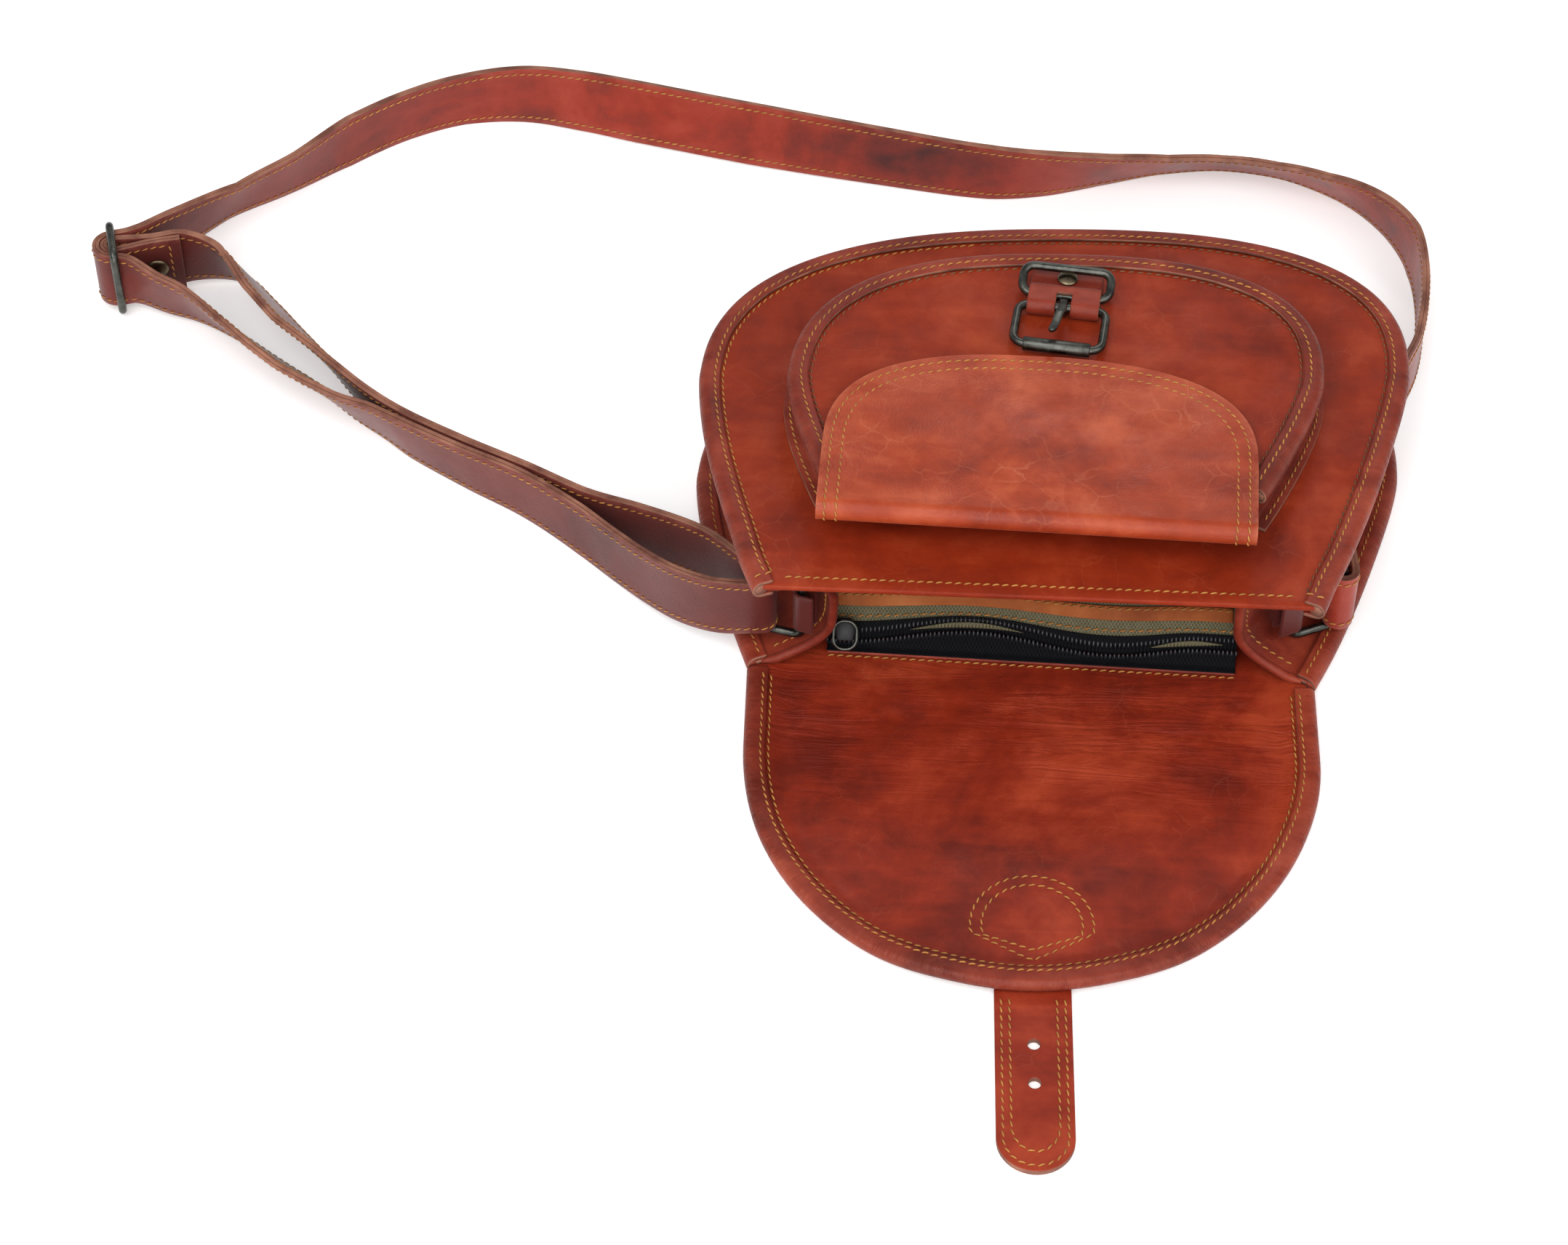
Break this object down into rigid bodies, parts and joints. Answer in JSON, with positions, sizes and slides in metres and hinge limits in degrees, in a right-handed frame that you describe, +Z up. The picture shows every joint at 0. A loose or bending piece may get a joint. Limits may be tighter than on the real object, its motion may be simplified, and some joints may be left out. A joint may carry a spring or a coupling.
{
  "type": "leather saddle bag",
  "caption": "Leather saddle shoulder bag lying open on its back, with a spread flap, a buckled front pocket, a zipped inner pocket and a long adjustable strap.",
  "frame": {"origin": "middle of the flap's fold line, on the flat back face that the bag lies on", "axes": "+X along the mouth, +Y from the fold line to the bag's round bottom, +Z up out of the back panel"},
  "size_m": [0.5563, 0.5464, 0.0972],
  "materials": {
    "cognac_leather": "oil-tanned cognac leather, mottled, soft sheen",
    "dark_leather": "darker red-brown leather, smooth, soft sheen",
    "tan_leather": "undyed tan leather",
    "canvas": "olive-grey cotton canvas",
    "zip": "black woven zip tape",
    "zip_metal": "black enamelled metal",
    "gunmetal": "antique gunmetal plating",
    "bronze": "aged bronze"
  },
  "bodies": {
    "bag": {"back_and_flap": "cognac_leather", "flap_binding": "cognac_leather", "flap_tab": "cognac_leather", "back_binding": "cognac_leather", "front_panel": "cognac_leather", "front_binding": "cognac_leather", "pocket_gusset": "cognac_leather", "pocket_face": "cognac_leather", "pocket_binding": "cognac_leather", "pocket_flap": "cognac_leather", "buckle_chape": "cognac_leather", "ring_tab_left": "cognac_leather", "ring_tab_right": "cognac_leather", "gusset": "dark_leather", "shoulder_strap": "dark_leather", "facing_strip": "tan_leather", "inner_pocket_wall": "canvas", "zip_tape_back": "zip", "zip_tape_front": "zip", "zip_slider": "zip_metal", "zip_ring": "gunmetal", "side_ring_left": "gunmetal", "side_ring_right": "gunmetal", "strap_slider": "gunmetal", "chape_rivet": "bronze", "strap_rivet": "bronze"},
    "frame": {"buckle_frame": "gunmetal"},
    "roller": {"buckle_roller": "gunmetal"},
    "prong": {"buckle_prong": "gunmetal"},
    "keeper": {"keeper_loop": "gunmetal"}
  },
  "joints": [
    {"name": "buckle_hinge", "type": "hinge", "parent": "bag", "child": "frame", "pos_m": [0.00745, 0.11837, 0.0886], "axis": [-0.9937, 0.1118, 0], "range_deg": [0, 45]},
    {"name": "prong_hinge", "type": "hinge", "parent": "frame", "child": "prong", "pos_m": [0.00745, 0.11837, 0.0886], "axis": [-0.9937, 0.1118, 0], "range_deg": [-10, 40]},
    {"name": "roller_spin", "type": "hinge", "parent": "frame", "child": "roller", "pos_m": [0.005, 0.09651, 0.0886], "axis": [0.9937, -0.1118, 0], "continuous": true},
    {"name": "keeper_hinge", "type": "hinge", "parent": "bag", "child": "keeper", "pos_m": [0.00817, 0.12473, 0.0886], "axis": [0.9937, -0.1118, 0], "range_deg": [0, 50]}
  ]
}
